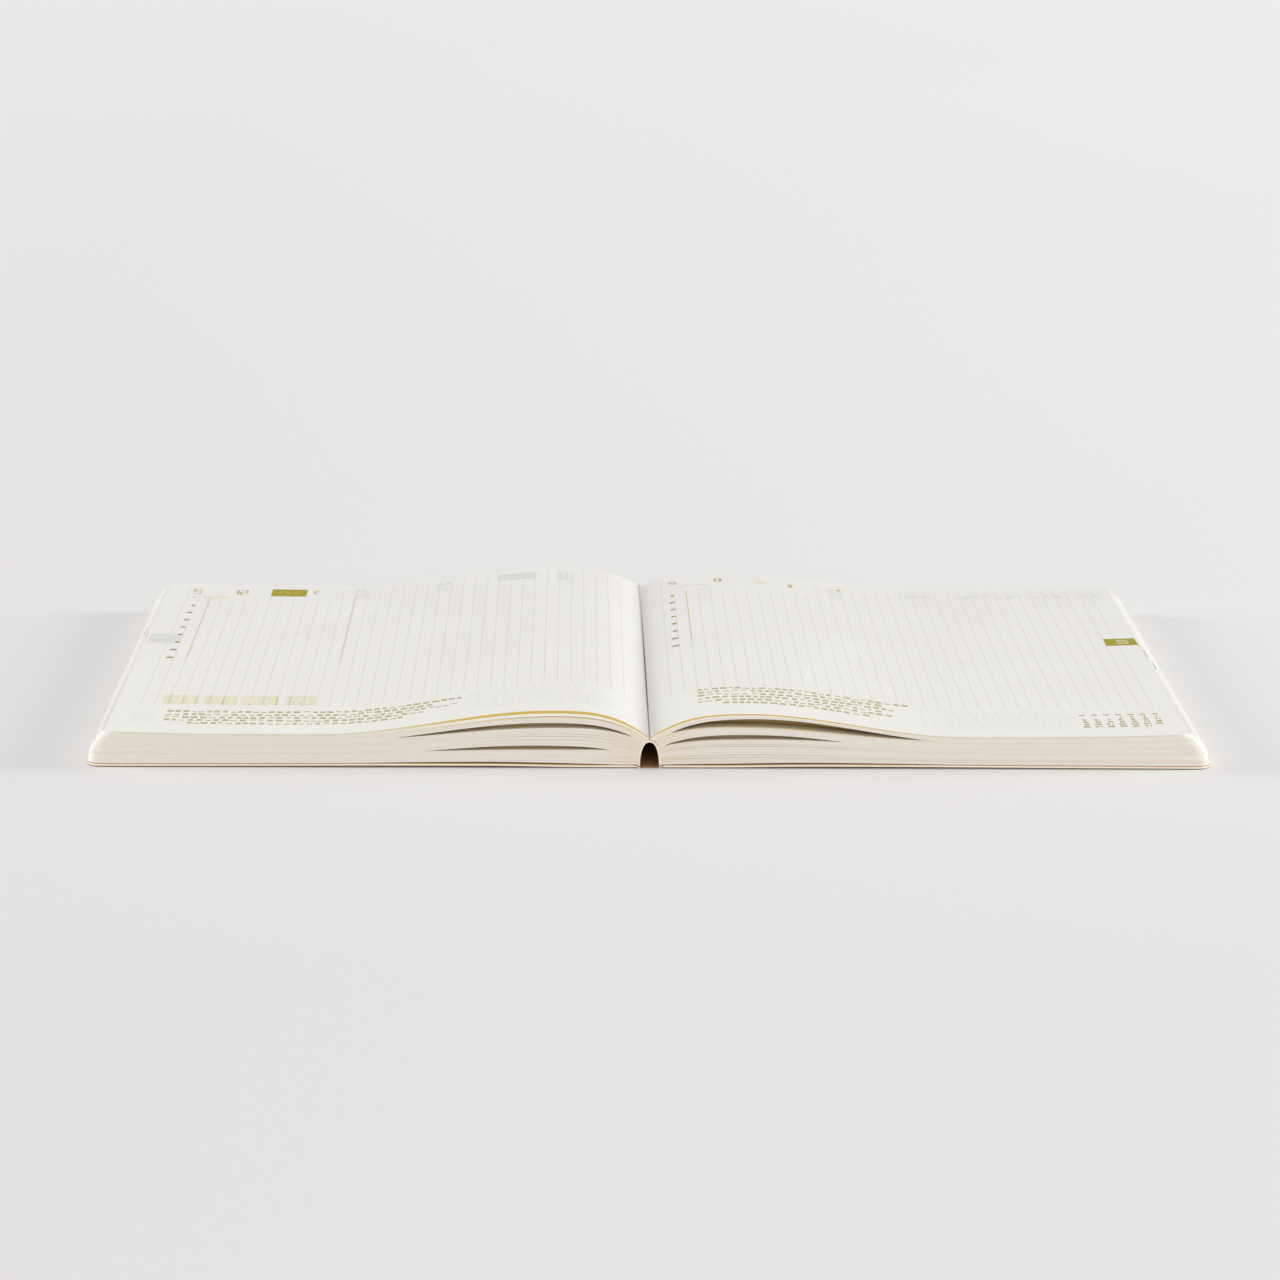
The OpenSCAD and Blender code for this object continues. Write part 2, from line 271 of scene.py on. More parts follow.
class Nodes:
    """Short names for building one procedural material. A texture's scale counts per metre."""

    def __init__(self, name, roughness=0.8, specular=0.25):
        self.mat = bpy.data.materials.new(name)
        self.mat.use_nodes = True
        self.tree = self.mat.node_tree
        self.bsdf = self.tree.nodes["Principled BSDF"]
        self.bsdf.inputs["Roughness"].default_value = roughness
        self.bsdf.inputs["Specular IOR Level"].default_value = specular
        self.coords = self.tree.nodes.new("ShaderNodeTexCoord").outputs["Object"]

    def link(self, a, b):
        self.tree.links.new(a, b)

    def node(self, kind, **values):
        n = self.tree.nodes.new(kind)
        for key, value in values.items():
            setattr(n, key, value)
        return n

    def scaled(self, scale):
        m = self.node("ShaderNodeMapping")
        m.inputs["Scale"].default_value = scale
        self.link(self.coords, m.inputs["Vector"])
        return m.outputs["Vector"]

    def noise(self, scale, detail=3.0, rough=0.55, vector=None, low=0.3, high=0.7):
        n = self.node("ShaderNodeTexNoise")
        n.inputs["Scale"].default_value = scale
        n.inputs["Detail"].default_value = detail
        n.inputs["Roughness"].default_value = rough
        self.link(vector or self.coords, n.inputs["Vector"])
        return self.ranged(n.outputs["Fac"], low, high)

    def wave(self, scale, direction, distortion=0.0):
        n = self.node("ShaderNodeTexWave", wave_type="BANDS", bands_direction=direction)
        n.inputs["Scale"].default_value = scale
        n.inputs["Distortion"].default_value = distortion
        self.link(self.coords, n.inputs["Vector"])
        return n.outputs["Fac"]

    def split(self, vector=None):
        """The X, Y and Z of a place, by default in the object's own frame."""
        n = self.node("ShaderNodeSeparateXYZ")
        self.link(vector or self.coords, n.inputs["Vector"])
        return n.outputs

    def operate(self, operation, *values):
        n = self.node("ShaderNodeMath", operation=operation)
        for k, value in enumerate(values):
            self.link(value, n.inputs[k])
        return n.outputs[0]

    def attribute(self, name):
        return self.node("ShaderNodeAttribute", attribute_name=name).outputs["Fac"]

    def ranged(self, value, low, high):
        """0 at low, 1 at high and even between them."""
        r = self.node("ShaderNodeMapRange")
        r.inputs["From Min"].default_value, r.inputs["From Max"].default_value = low, high
        self.link(value, r.inputs["Value"])
        return r.outputs["Result"]

    def mix(self, factor, a, b):
        """Colour from a to b; a and b are colours or sockets."""
        m = self.node("ShaderNodeMix", data_type="RGBA")
        if isinstance(factor, (int, float)):
            m.inputs[0].default_value = factor
        else:
            self.link(factor, m.inputs[0])
        for index, value in ((6, a), (7, b)):
            if isinstance(value, tuple):
                m.inputs[index].default_value = value
            else:
                self.link(value, m.inputs[index])
        return m.outputs[2]

    def bump(self, height, strength, depth):
        """Relief, with its depth in millimetres."""
        b = self.node("ShaderNodeBump")
        b.inputs["Strength"].default_value = strength
        b.inputs["Distance"].default_value = depth * MM
        self.link(height, b.inputs["Height"])
        self.link(b.outputs["Normal"], self.bsdf.inputs["Normal"])

    def done(self, colour):
        self.link(colour, self.bsdf.inputs["Base Color"])
        return self.mat


def page_material():
    n = Nodes("page_paper", 0.72, 0.3)
    # painted shade: the paper a little darker towards the head
    headward = n.ranged(n.split()["Y"], -HALF_H * MM, HALF_H * MM)
    cloud = n.noise(28, 2)
    fibre = n.noise(2600, 4, 0.65)
    colour = n.mix(headward, srgb(238, 236, 230), srgb(232, 230, 226))
    colour = n.mix(cloud, colour, n.mix(0.4, colour, srgb(244, 243, 240)))
    colour = n.mix(fibre, colour, n.mix(0.4, colour, srgb(226, 222, 215)))
    n.bump(fibre, 0.12, 0.05)
    return n.done(colour)


def fold_material():
    """Page paper with a painted shadow: the dark line in the valley of the gutter, which fades towards the
    head.
    """
    fades_by, half_w_out, half_w_in = 90, 0.25, 0.12
    n = Nodes("fold_paper", 0.75, 0.25)
    place = n.split()
    off = n.operate("ABSOLUTE", place["X"])
    fibre = n.noise(2600, 4, 0.65)
    paper = n.mix(fibre, srgb(234, 232, 226), srgb(226, 222, 214))
    # painted shadow of the gutter's valley, darkest at the tail
    line = n.mix(n.ranged(place["Y"], 0.0, fades_by * MM), srgb(112, 108, 86), srgb(206, 203, 193))
    return n.done(n.mix(n.ranged(off, half_w_out * MM, half_w_in * MM), paper, line))


def gap_paper_material():
    """The paper inside a gap, with painted shade: darker and browner inwards from the two ends, away from the
    light.
    """
    lit_depth = 8
    n = Nodes("gap_painted_shade", 0.8, 0.2)
    ends = n.operate("ABSOLUTE", n.split()["Y"])
    fibre = n.noise(2600, 3, 0.6)
    inward = n.ranged(ends, HALF_H * MM, (HALF_H - lit_depth) * MM)
    # painted shade: the paper's colour at the ends, brown further in
    colour = n.mix(inward, srgb(243, 235, 214), srgb(190, 160, 98))
    return n.done(n.mix(fibre, colour, n.mix(0.3, colour, srgb(180, 154, 98))))


def edge_material(name, plain, pale, shade):
    """Cut edges of the leaves: fine runs of tone along each leaf, with painted light: a golden glow where
    light would come through, and a paler highlight.
    """
    n = Nodes(name, 0.85, 0.2)
    runs = n.noise(1, 3, 0.6, n.scaled((60, 60, 9000)))
    flecks = n.noise(1, 2, 0.5, n.scaled((500, 500, 14000)))
    colour = n.mix(runs, plain, pale)
    colour = n.mix(n.ranged(flecks, 0.0, 3.5), colour, shade)
    colour = n.mix(n.attribute("tone"), colour, shade)
    # painted light carried by each leaf: golden glow above 0, paler highlight below 0
    warm = n.attribute("warm")
    colour = n.mix(n.ranged(warm, 0, 1), colour, srgb(222, 190, 92))
    colour = n.mix(n.ranged(warm, 0, -1), colour, srgb(253, 248, 236))
    n.bump(runs, 0.25, 0.04)
    return n.done(colour)


def fibrous(name, gloss, grain, cloud_scale, dark, light, fleck, relief):
    """Card or paper clouded between two colours, with fibres of a third."""
    n = Nodes(name, *gloss)
    fibre = n.noise(*grain)
    colour = n.mix(n.noise(cloud_scale, 2), srgb(*dark), srgb(*light))
    n.bump(fibre, *relief)
    return n.done(n.mix(fibre, colour, srgb(*fleck)))


def card_edge_material():
    n = Nodes("card_edge", 0.85, 0.2)
    layers = n.noise(1, 3, 0.6, n.scaled((300, 300, 7000)))
    n.bump(layers, 0.3, 0.05)
    return n.done(n.mix(layers, srgb(242, 226, 202), srgb(250, 240, 222)))


def thread_material():
    n = Nodes("thread", 0.7, 0.3)
    twist = n.wave(900, "DIAGONAL", 1.5)
    n.bump(twist, 0.5, 0.08)
    return n.done(n.mix(twist, srgb(122, 118, 94), srgb(160, 156, 130)))


def gauze_material():
    n = Nodes("lining_gauze", 0.9, 0.15)
    weave = n.operate("MAXIMUM", n.wave(260, "Y"), n.wave(260, "Z"))
    n.bump(weave, 0.5, 0.1)
    return n.done(n.mix(weave, srgb(222, 208, 182), srgb(240, 230, 210)))


def ink_material(name, colour, speckle):
    """Offset ink on paper: a little mottled, with the paper showing through."""
    n = Nodes("ink_" + name, 0.7, 0.25)
    mottle = n.noise(3200, 3, 0.7, None, 0.35, 0.75)
    return n.done(n.mix(mottle, srgb(*colour), srgb(*speckle)))


PAPER, FOLD, GAP_PAINTED_SHADE = page_material(), fold_material(), gap_paper_material()
EDGE = edge_material("paper_edge", srgb(235, 229, 219), srgb(240, 235, 227), srgb(225, 217, 202))
# painted highlight: the fore-edges and outer corners of the leaves, the same cut paper painted much lighter
# than the near edges
FORE_EDGE = edge_material("paper_fore_edge", srgb(251, 250, 245), srgb(254, 253, 250), srgb(232, 230, 222))
CARD = fibrous("cover_card", (0.68, 0.3), (1800, 4, 0.65), 40,
               (238, 229, 212), (243, 235, 219), (232, 220, 200), (0.2, 0.06))
# the brown outer layer of the cover, which also faces the hollow of the spine; its brown is partly painted
# shade, darkening the line under the cover's edges and the hollow
KRAFT = fibrous("cover_kraft", (0.75, 0.25), (1500, 4, 0.7), 60,
                (188, 144, 104), (200, 156, 116), (172, 130, 92), (0.25, 0.06))
ENDPAPER = fibrous("endpaper", (0.8, 0.25), (2200, 4, 0.65), 35,
                   (224, 187, 135), (231, 198, 150), (215, 174, 120), (0.15, 0.05))
CARD_EDGE, THREAD, GAUZE = card_edge_material(), thread_material(), gauze_material()
# each ink's colour on the paper, and the one it is mottled with
INK_COLOURS = {
    "rule": ((217, 216, 190), (226, 225, 206)),
    "cross": ((229, 227, 219), (232, 230, 224)),
    "dark_rule": ((200, 196, 156), (212, 208, 176)),
    "text": ((148, 138, 14), (174, 164, 50)),
    "soft": ((188, 181, 128), (204, 198, 156)),
    "block": ((160, 149, 42), (171, 161, 62)),
    "dim": ((186, 177, 96), (194, 186, 112)),
    "pale": ((226, 222, 188), (232, 229, 204)),
    "white": ((238, 236, 228), (233, 231, 220)),
    "ghost": ((226, 224, 218), (230, 228, 223)),
    "grey": ((217, 216, 209), (224, 223, 217)),
    "purple": ((190, 180, 190), (204, 196, 202)),
    "pink": ((232, 196, 192), (238, 208, 204)),
    # painted shadow: the thin line at the foot of each step of the fore-edge
    "line": ((202, 203, 192), (212, 213, 204)),
    "green": ((88, 96, 84), (112, 118, 104)),
    "blue": ((120, 140, 170), (150, 164, 186)),
}
INKS = {name: ink_material(name, *pair) for name, pair in INK_COLOURS.items()}
INK_NAMES = list(INKS)


# ---------------------------------------------------------------- leaves
PAPER_SLOT, EDGE_SLOT, GAP_SLOT, FORE_SLOT = range(4)
TURN_STEPS, TOP_ROWS = 6, 22
# hair-thin gaps: how many are tried between two levels, how far each may stray and stays from a wide gap,
# and the ranges of their starts, lengths and openings
HAIR_GAPS, HAIR_LEVELS, HAIR_STRAY, HAIR_CLEAR = 17, (0.07, 0.965), 0.015, 0.03
HAIR_START, HAIR_LENGTH, HAIR_OPENING = (1.2, 6), (24, 62), (0.02, 0.07)
# height that turns a gap's opening into a share of the leaves
CREST_H = 14
# how far in a gap is closed, for each millimetre of its opening; one thinner than GAP_MIN stays open
GAP_DEPTH, GAP_MIN = 3.0, 0.5
# leaves from the top one down with a painted golden glow in the near edge, and those with the glow or a
# painted paler highlight
GOLD_LEAVES, PALE_LEAVES, GOLD_TONE = 6, 11, 0.8
# how far gatherings and leaves stand back at the fore-edge, and how far leaves stray at corners and ends
BACK_EVEN, BACK_THIRD, BACK_STRAY, CORNER_STRAY, END_STRAY, END_MAX = 0.1, 0.06, 0.05, 0.05, 0.03, 0.12
# air under a leaf, as a share of its thickness, and the leaves that share a tone
AIR, GROUP_SIZE, GROUP_TONE, TONE_STRAY = (0.02, 0.09), (3, 12), (0.0, 0.5), 0.16
# painted light in the near edge: where it fades past the crest, the share and place of leaves painted lighter
# where they fan out beside the spine, how the painted gold ends before the fore-edge, and the leaves next to
# a wide gap
FADE_FROM, FADE_LENGTH = 20, 40
FAN_SHARE, FAN_LIGHT, FAN_TO, FAN_FADE = 0.22, 0.55, 3, 14
GOLD_MIN, GOLD_STOP, GOLD_FADE = 0.12, 9, 4
OVER_GAP, UNDER_GAP, PALE_LIGHT, GAP_GOLD, HIGH_GAP = 0.02, 0.016, 0.5, 0.7, 0.8


def gap_list(half):
    """The visible gaps with a few hair-thin ones, and the slip over the endpaper, in order of level."""
    gaps = [tuple(g) for g in half["gaps"]]
    for level in np.linspace(*HAIR_LEVELS, HAIR_GAPS):
        level = level + rng.uniform(-HAIR_STRAY, HAIR_STRAY)
        if any(abs(level - g[0]) < HAIR_CLEAR + g[3] / CREST_H for g in half["gaps"]):
            continue
        start = rng.uniform(*HAIR_START)
        gaps.append((level, start, start + rng.uniform(*HAIR_LENGTH), rng.uniform(*HAIR_OPENING)))
    start, end, opening = half["slip_gap"]
    return sorted(gaps + [(0.0, start, end, 2 * opening), (1.0, 0, 1, 0.0)])


def leaf_z(half, below, above, level, s, at):
    """Height of a level between the gap below it and the one above it."""
    room = page_z(half, s, at) - bed(s)
    low = below[0] * room + lens(s, *below[1:]) / 2
    high = above[0] * room - lens(s, *above[1:]) / 2
    return bed(s) + low + (high - low) * (level - below[0]) / (above[0] - below[0])


def leaf_start(half, below, above, level):
    """Distance from the gutter at which a leaf meets the lining of the spine."""
    s = np.linspace(GAP_S, LINING_HALF_W, 60)
    z = np.minimum(*(leaf_z(half, below, above, level, s, end) for end in (0.0, 1.0)))
    return float(s[np.argmax(z >= arch_z(s, LINING_HALF_W - LINING_T, LINING_TOP_Z - LINING_T))])


def leaf_outline(half, level, start, gathering):
    """A leaf's stations, its two ends along the spine with their round corners, and its reach."""
    # each gathering and each leaf stands back a little, the top ones less
    back = BACK_EVEN * (gathering % 2) + BACK_THIRD * ((gathering * 5) % 3) + abs(rng.normal(0, BACK_STRAY))
    reach = leaf_reach(half, level) - back * (1 - level ** 8)
    corner = CORNER_R + rng.uniform(-CORNER_STRAY, CORNER_STRAY)
    inner = STATIONS[(STATIONS > start + 0.2) & (STATIONS < reach - corner - 0.5)]
    turn = np.linspace(0, np.pi / 2, TURN_STEPS + 1)
    s = np.concatenate([[start], inner, reach - corner + corner * np.sin(turn)])
    cut = np.concatenate([np.zeros(len(inner) + 1), corner - corner * np.cos(turn)])
    tail, head = (HALF_H - min(abs(rng.normal(0, END_STRAY)), END_MAX) - cut for _ in range(2))
    return s, -tail, head, reach


def leaf_light(half, i, lo, hi, s, reach):
    """Painted light in a leaf's near edge: a painted golden glow above 0 where the leaf arches free, a
    painted paler highlight below 0.
    """
    free = ease((s + 4) / 8) * (1 - ease((s - half["crest"] - FADE_FROM) / FADE_LENGTH))
    fan = FAN_LIGHT * (rng.random() < FAN_SHARE) * (1 - ease((s - FAN_TO) / FAN_FADE))
    warm = np.zeros(len(s)) + fan
    if i >= LEAVES - GOLD_LEAVES:
        warm = np.maximum(free, GOLD_MIN) * (1 - ease((s - reach + GOLD_STOP) / GOLD_FADE))
    elif i >= LEAVES - PALE_LEAVES:
        warm = -PALE_LIGHT * free
    for level, *_ in half["gaps"]:
        # a painted paler highlight on a leaf over a gap, and a painted golden glow on those under the highest
        if 0 <= lo - level < OVER_GAP:
            warm = warm - PALE_LIGHT * free
        if 0 <= level - hi < UNDER_GAP and level > HIGH_GAP:
            warm = warm + GAP_GOLD * free
    return np.clip(warm, -1, 1)


def fill_gaps(build, half):
    """Inside, the leaves over a gap sag and close it."""
    for level, start, end, opening in half["gaps"]:
        if opening > GAP_MIN:
            s = np.linspace(start + 0.5, end - 0.5, 40)
            y = np.array([[-1.0], [1.0]]) * (HALF_H - GAP_DEPTH * opening) + np.zeros(len(s))
            middle = level * (page_z(half, s, along(y)) - bed(s)) + bed(s)
            fill = lens(s, start, end, opening) / 2 - UNDER
            # the filler gets the gap's painted shade
            build.strip(s, middle - fill, middle + fill, y, GAP_SLOT)


def make_leaves(half):
    """Each leaf as a closed sheet of its own, in packs between the gaps."""
    build = Build(half["side"])
    gaps = gap_list(half)
    levels = np.array([g[0] for g in gaps])
    bounds = np.linspace(0, 1, LEAVES + 1)
    nearest = [int(np.argmin(abs(bounds - level))) for level in levels[1:-1]]
    bounds[nearest] = levels[1:-1]
    half["profile"] = []
    group_tone, group_left = 0.0, 0
    for i, (lo, hi) in enumerate(zip(bounds[:-1], bounds[1:])):
        is_top = i == LEAVES - 1
        mid = (lo + hi) / 2
        pack = int(np.searchsorted(levels, mid)) - 1
        below, above = gaps[pack:pack + 2]
        start = leaf_start(half, below, above, mid)
        s, near, far, reach = leaf_outline(half, mid, start, i * half["gatherings"] // LEAVES)
        y = near + (far - near) * np.linspace(0, 1, TOP_ROWS if is_top else 2)[:, None]
        at = along(y)
        low = leaf_z(half, below, above, lo, s, at)
        high = page_top(half, s, at) if is_top else leaf_z(half, below, above, hi, s, at)
        low = low + (high - low) * rng.uniform(*AIR) * ease(s / 12 + 0.2)
        if group_left <= 0:
            group_left, group_tone = int(rng.integers(*GROUP_SIZE)), rng.uniform(*GROUP_TONE)
        group_left -= 1
        tone = float(np.clip(group_tone + rng.normal(0, TONE_STRAY), 0, 1))
        if i >= LEAVES - GOLD_LEAVES:
            tone = GOLD_TONE
        warm = leaf_light(half, i, lo, hi, s, reach)
        # a leaf just under a wide gap gets the gap's painted shade on its upper side, and the outer turn of
        # each leaf the fore-edge's painted highlight
        under_gap = any(abs(hi - g[0]) < 1e-6 for g in half["gaps"])
        build.strip(s, low, high, y, GAP_SLOT if under_gap else PAPER_SLOT, EDGE_SLOT, warm, tone,
                    0 if is_top else TURN_STEPS // 2, FORE_SLOT)
        half["profile"].append((reach, float(high[0, -1])))
    fill_gaps(build, half)
    obj = build.make(half["name"] + "_leaves", [PAPER, EDGE, GAP_PAINTED_SHADE, FORE_EDGE])
    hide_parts(half["name"] + "_pages")
    return obj


# ---------------------------------------------------------------- print
# heights of the ink over the page, of the marks over the fore-edge, and the layout of the page's rules
LIFT, INK_T, MARK_LIFT, MARK_T = 0.003, 0.007, 0.04, 0.012
GRID, FIRST_RULE, RULES = 3.676, 6.4, 37
RULE_W, CROSS_W, DARK_W, RULE_HEAD, RULE_TAIL = 0.2, 0.1, 0.32, 98.3, -70.0
# the hours beside the rules: how many, the first, their step, their rows apart and their digits
HOURS, FIRST_HOUR, HOUR_STEP, HOUR_ROWS, HOUR_SIZE, DIGIT_STEP = 8, 8, 2, 3, 1.7, 0.95
# the month's numbers
MONTH_X, MONTH_Y, DAY_W, WEEK_H, DAY_SIZE, FIRST_DAY, DAYS = 117.4, -82.0, 3.32, 2.85, 1.35, 3, 31


def draped(build, half, s0, s1, y0, y1, ink, film=0):
    """A thin field of ink on the open page, from s0 to s1 and y0 to y1; each film lies on the one before."""
    knots = STATIONS[(STATIONS > s0 + 0.02) & (STATIONS < s1 - 0.02)]
    s = np.concatenate([[s0], knots, [s1]])
    y = np.array([[y0], [y1]]) + np.zeros(len(s))
    z = page_top(half, s, along(y)) + LIFT + film * INK_T
    build.strip(s, z, z + INK_T, y, INK_NAMES.index(ink))


def stroke(build, half, x0, x1, y0, y1, ink, film=0):
    """The same by the spread's x, which is below 0 on the left page."""
    s0, s1 = sorted((x0 * half["side"], x1 * half["side"]))
    draped(build, half, s0, s1, min(y0, y1), max(y0, y1), ink, film)


# strokes of a digit from one place to another, in widths and half heights
SEGMENTS = {"a": (0, 2, 1, 2), "b": (1, 1, 1, 2), "c": (1, 0, 1, 1), "d": (0, 0, 1, 0),
            "e": (0, 0, 0, 1), "f": (0, 1, 0, 2), "g": (0, 1, 1, 1)}
DIGITS = ["abcdef", "bc", "abged", "abgcd", "fgbc", "afgcd", "afgedc", "abc", "abcdefg", "abcdfg"]


def digits(build, half, text, x, y, height, ink, width=0.5, pen=0.16, step=0.28, film=0):
    """Plain seven-stroke numbers with their lower left corner at x, y; other sizes are shares of height."""
    for k, char in enumerate(text):
        left = x + k * height * (width + step)
        for seg in DIGITS[int(char)]:
            ax, ay, bx, by = SEGMENTS[seg]
            px0, px1 = left + ax * width * height, left + bx * width * height
            py0, py1 = y + ay * height / 2, y + by * height / 2
            t = pen * height / 2
            stroke(build, half, px0 - t, px1 + t, py0 - t, py1 + t, ink, film)


def greek(build, half, x, y, length, ink, size=2.2, pitch=2.3, film=0):
    """A row of made-up marks that only stand for a line of small print: a lower bar, an upper one or both.
    The heights of the bars are shares of size."""
    lower_to, upper_from, upper_to, lower_chance, upper_beyond = 0.34, 0.52, 0.84, 0.85, 0.2
    left = x
    while left < x + length:
        wide = rng.uniform(0.5, 0.85) * pitch
        kind = rng.random()
        base = y + rng.uniform(0, 0.12) * size
        if kind < lower_chance:
            stroke(build, half, left, left + wide, base, base + lower_to * size, ink, film)
        if kind > upper_beyond:
            shift = rng.uniform(-0.08, 0.12) * wide
            y0, y1 = base + upper_from * size, base + upper_to * size
            stroke(build, half, left + shift, left + wide, y0, y1, ink, film)
        left += wide + rng.uniform(0.18, 0.42) * pitch


def ruling(build, half, dark, header_from, header_to, header_tail):
    """Upright rules, of which those under the page's header start lower, and cross rules. dark has the
    number and the ends of each darker one."""
    for k in range(RULES):
        s = FIRST_RULE + GRID * k
        head = header_tail if header_from < s < header_to else RULE_HEAD
        draped(build, half, s - RULE_W / 2, s + RULE_W / 2, RULE_TAIL, head, "rule", 1)
        if k in dark:
            y0, y1 = dark[k]
            draped(build, half, s - DARK_W / 2, s + DARK_W / 2, y0, y1, "dark_rule", 2)
    last_rule = FIRST_RULE + GRID * (RULES - 1)
    for y in np.arange(RULE_TAIL, RULE_HEAD, GRID):
        draped(build, half, FIRST_RULE, last_rule, y - CROSS_W / 2, y + CROSS_W / 2, "cross")


def hours(build, half, right_x, top_y):
    """A column of every second hour, with its last digit at one place."""
    for k in range(HOURS):
        hour = str(FIRST_HOUR + HOUR_STEP * k)
        x = right_x - DIGIT_STEP * (len(hour) - 1)
        y = top_y - HOUR_ROWS * GRID * k
        digits(build, half, hour, x, y, HOUR_SIZE, "text", 0.34, 0.2, 0.22, film=3)


def print_left():
    """The left page's print, placed by the spread's x and y in millimetres."""
    half, b = LEFT, Build(-1)
    ruling(b, half, {34: (-10, 82), 22: (-8, 85)}, 92, 135, 82)
    # header: a number with bars, the date, a field with three marks, a small sign and faint marks
    digits(b, half, "5", -137.0, 89.2, 6.8, "soft", 0.28, 0.09)
    stroke(b, half, -137.8, -135.8, 82.6, 84.4, "rule", 2)
    stroke(b, half, -133.4, -126.0, 83.2, 85.0, "rule", 2)
    digits(b, half, "12", -125.4, 88.9, 6.9, "soft", 0.26, 0.1, 0.14)
    stroke(b, half, -113.3, -102.5, 87.0, 98.0, "block", 2)
    for x in (-110.6, -108.2, -105.8):
        stroke(b, half, x - 0.5, x + 0.5, 91.4, 93.2, "dim", 3)
    for x0, x1, y0, y1 in ((-100.4, -99.8, 91.2, 96.0), (-99.8, -98.5, 95.2, 96.0),
                           (-99.8, -98.8, 91.2, 92.0)):
        stroke(b, half, x0, x1, y0, y1, "soft", 2)
    for y in (83.5, 88.5, 93.5):
        for x, length in ((-87.6, 2.6), (-62.4, 2.6), (-25.6, 3.4)):
            greek(b, half, x, y, length, "grey", 3.6, 2.2, 2)
    stroke(b, half, -43.9, -32.0, 87.0, 97.4, "grey", 2)
    hours(b, half, -136.0, 69.4)
    # show-through of the next page's tab
    stroke(b, half, -144.4, -134.9, 13.2, 26.2, "grey", 2)
    # four pale fields and rows of small print at the tail
    for x0, x1 in ((-133.2, -123.4), (-121.8, -113.2), (-111.6, -101.5), (-99.5, -91.4)):
        stroke(b, half, x0, x1, -68.4, -57.4, "pale", 1)
        for k in range(3):
            left = x0 + 1.2 + k * (x1 - x0 - 2.4) / 3
            for low, high in ((-65.9, -65.0), (-62.0, -61.2)):
                stroke(b, half, left + 0.3, left + 1.9, low + rng.uniform(0, 1), high + rng.uniform(0, 1),
                       "white", 2)
            stroke(b, half, left + 0.8, left + 1.3, -66.2, -59.6, "white", 2)
    for y, x, length in ((-78.8, -130.9, 80), (-82.5, -130.9, 71), (-86.2, -131.0, 78), (-89.5, -130.9, 69),
                         (-93.1, -124.4, 57)):
        greek(b, half, x, y, length, "text")
    for k in range(6):
        greek(b, half, -50 + rng.uniform(0, 1), -95 + 3.9 * k, 34 + rng.uniform(0, 5), "ghost")
    for k in range(4):
        greek(b, half, -140, -93 + 3.9 * k, 6, "ghost")
    return b


def print_right():
    """The right page's print, placed in the same way."""
    half, b = RIGHT, Build(1)
    ruling(b, half, {2: (2, 80)}, 8, 52, 80)
    # header: a number with a bar, the date, a field and faint marks
    digits(b, half, "5", 9.2, 93.0, 4.0, "soft", 0.4, 0.16)
    stroke(b, half, 11.8, 19.9, 88.2, 89.2, "rule", 2)
    digits(b, half, "13", 22.0, 94.0, 4.4, "soft", 0.24, 0.16, 0.14)
    stroke(b, half, 35.6, 38.9, 92.0, 95.4, "rule", 2)
    stroke(b, half, 45.3, 46.8, 89.4, 94.2, "soft", 2)
    for y in (82.0, 87.0, 92.0):
        greek(b, half, 58.2, y, 3.4, "soft" if y > 90 else "grey", 3.2, 2.2, 2)
    for x, length in ((81, 8), (96.5, 20), (121, 7), (136, 5)):
        greek(b, half, x, 88.5, length, "grey", 5.0, 3.4, 2)
    hours(b, half, 9.2, 74.0)
    # rows of small print at the tail, and the print of the next page showing through
    for y, x, length in ((-71.0, 13.6, 57), (-74.9, 13.6, 50), (-78.8, 13.4, 53), (-82.7, 13.4, 49),
                         (-86.6, 13.3, 52), (-90.5, 20, 40)):
        greek(b, half, x, y, length, "text")
    for k in range(6):
        greek(b, half, 73 + rng.uniform(0, 1), -95 + 3.9 * k, 38 + rng.uniform(0, 4), "ghost")
    # a month of numbers
    for col in range(7):
        x = MONTH_X + DAY_W * col
        stroke(b, half, x, x + 1.6, -78.9, -77.9, "text")
    day = 1
    for row in range(6):
        for col in range(7):
            if (row == 0 and col < FIRST_DAY) or day > DAYS:
                continue
            text = str(day)
            x = MONTH_X + DAY_W * col + (0.55 if len(text) == 1 else 0)
            digits(b, half, text, x, MONTH_Y - WEEK_H * row, DAY_SIZE, "text", 0.42, 0.22)
            day += 1
    # tab at the fore-edge, with a number
    stroke(b, half, 135.2, half["profile"][-1][0] - 0.05, 14.4, 24.2, "block", 2)
    digits(b, half, "5", 139.1, 17.0, 4.6, "pale", 0.55, 0.16, film=3)
    return b


def head_drop(half):
    """How much lower the fore-edge lies at the head."""
    return half["leaf_t"][0] - half["leaf_t"][1]


def fore_edge_marks(build, half, marks):
    """Small fields on the stepped fore-edge. Each of the marks has its ends outwards from the top leaf's
    fore-edge, its ends along the spine and its ink."""
    reach = np.array([p[0] for p in half["profile"]])[::-1]
    z = np.array([p[1] for p in half["profile"]])[::-1]
    for out0, out1, y0, y1, ink in marks:
        s = reach[0] + np.linspace(out0, out1, 5)
        y = np.array([[y0], [y1]]) + np.zeros(len(s))
        low = np.interp(s, np.maximum.accumulate(reach), z)
        low = low - head_drop(half) * along(y) * (low - BED_Z) / half["leaf_t"][0] + MARK_LIFT
        build.strip(s, low, low + MARK_T, y, INK_NAMES.index(ink))


def step_lines(build, half):
    """A painted shadow: a thin grey line at the foot of each step of the fore-edge."""
    line_w, tail_clear, head_clear = 0.2, 5, 4
    marks = []
    for level in STEPS[-1:2:-1]:
        out = leaf_reach(half, level - 0.001) - leaf_reach(half, 1.0)
        marks.append((out - UNDER, out + line_w, -HALF_H + tail_clear, HALF_H - head_clear, "line"))
    fore_edge_marks(build, half, marks)


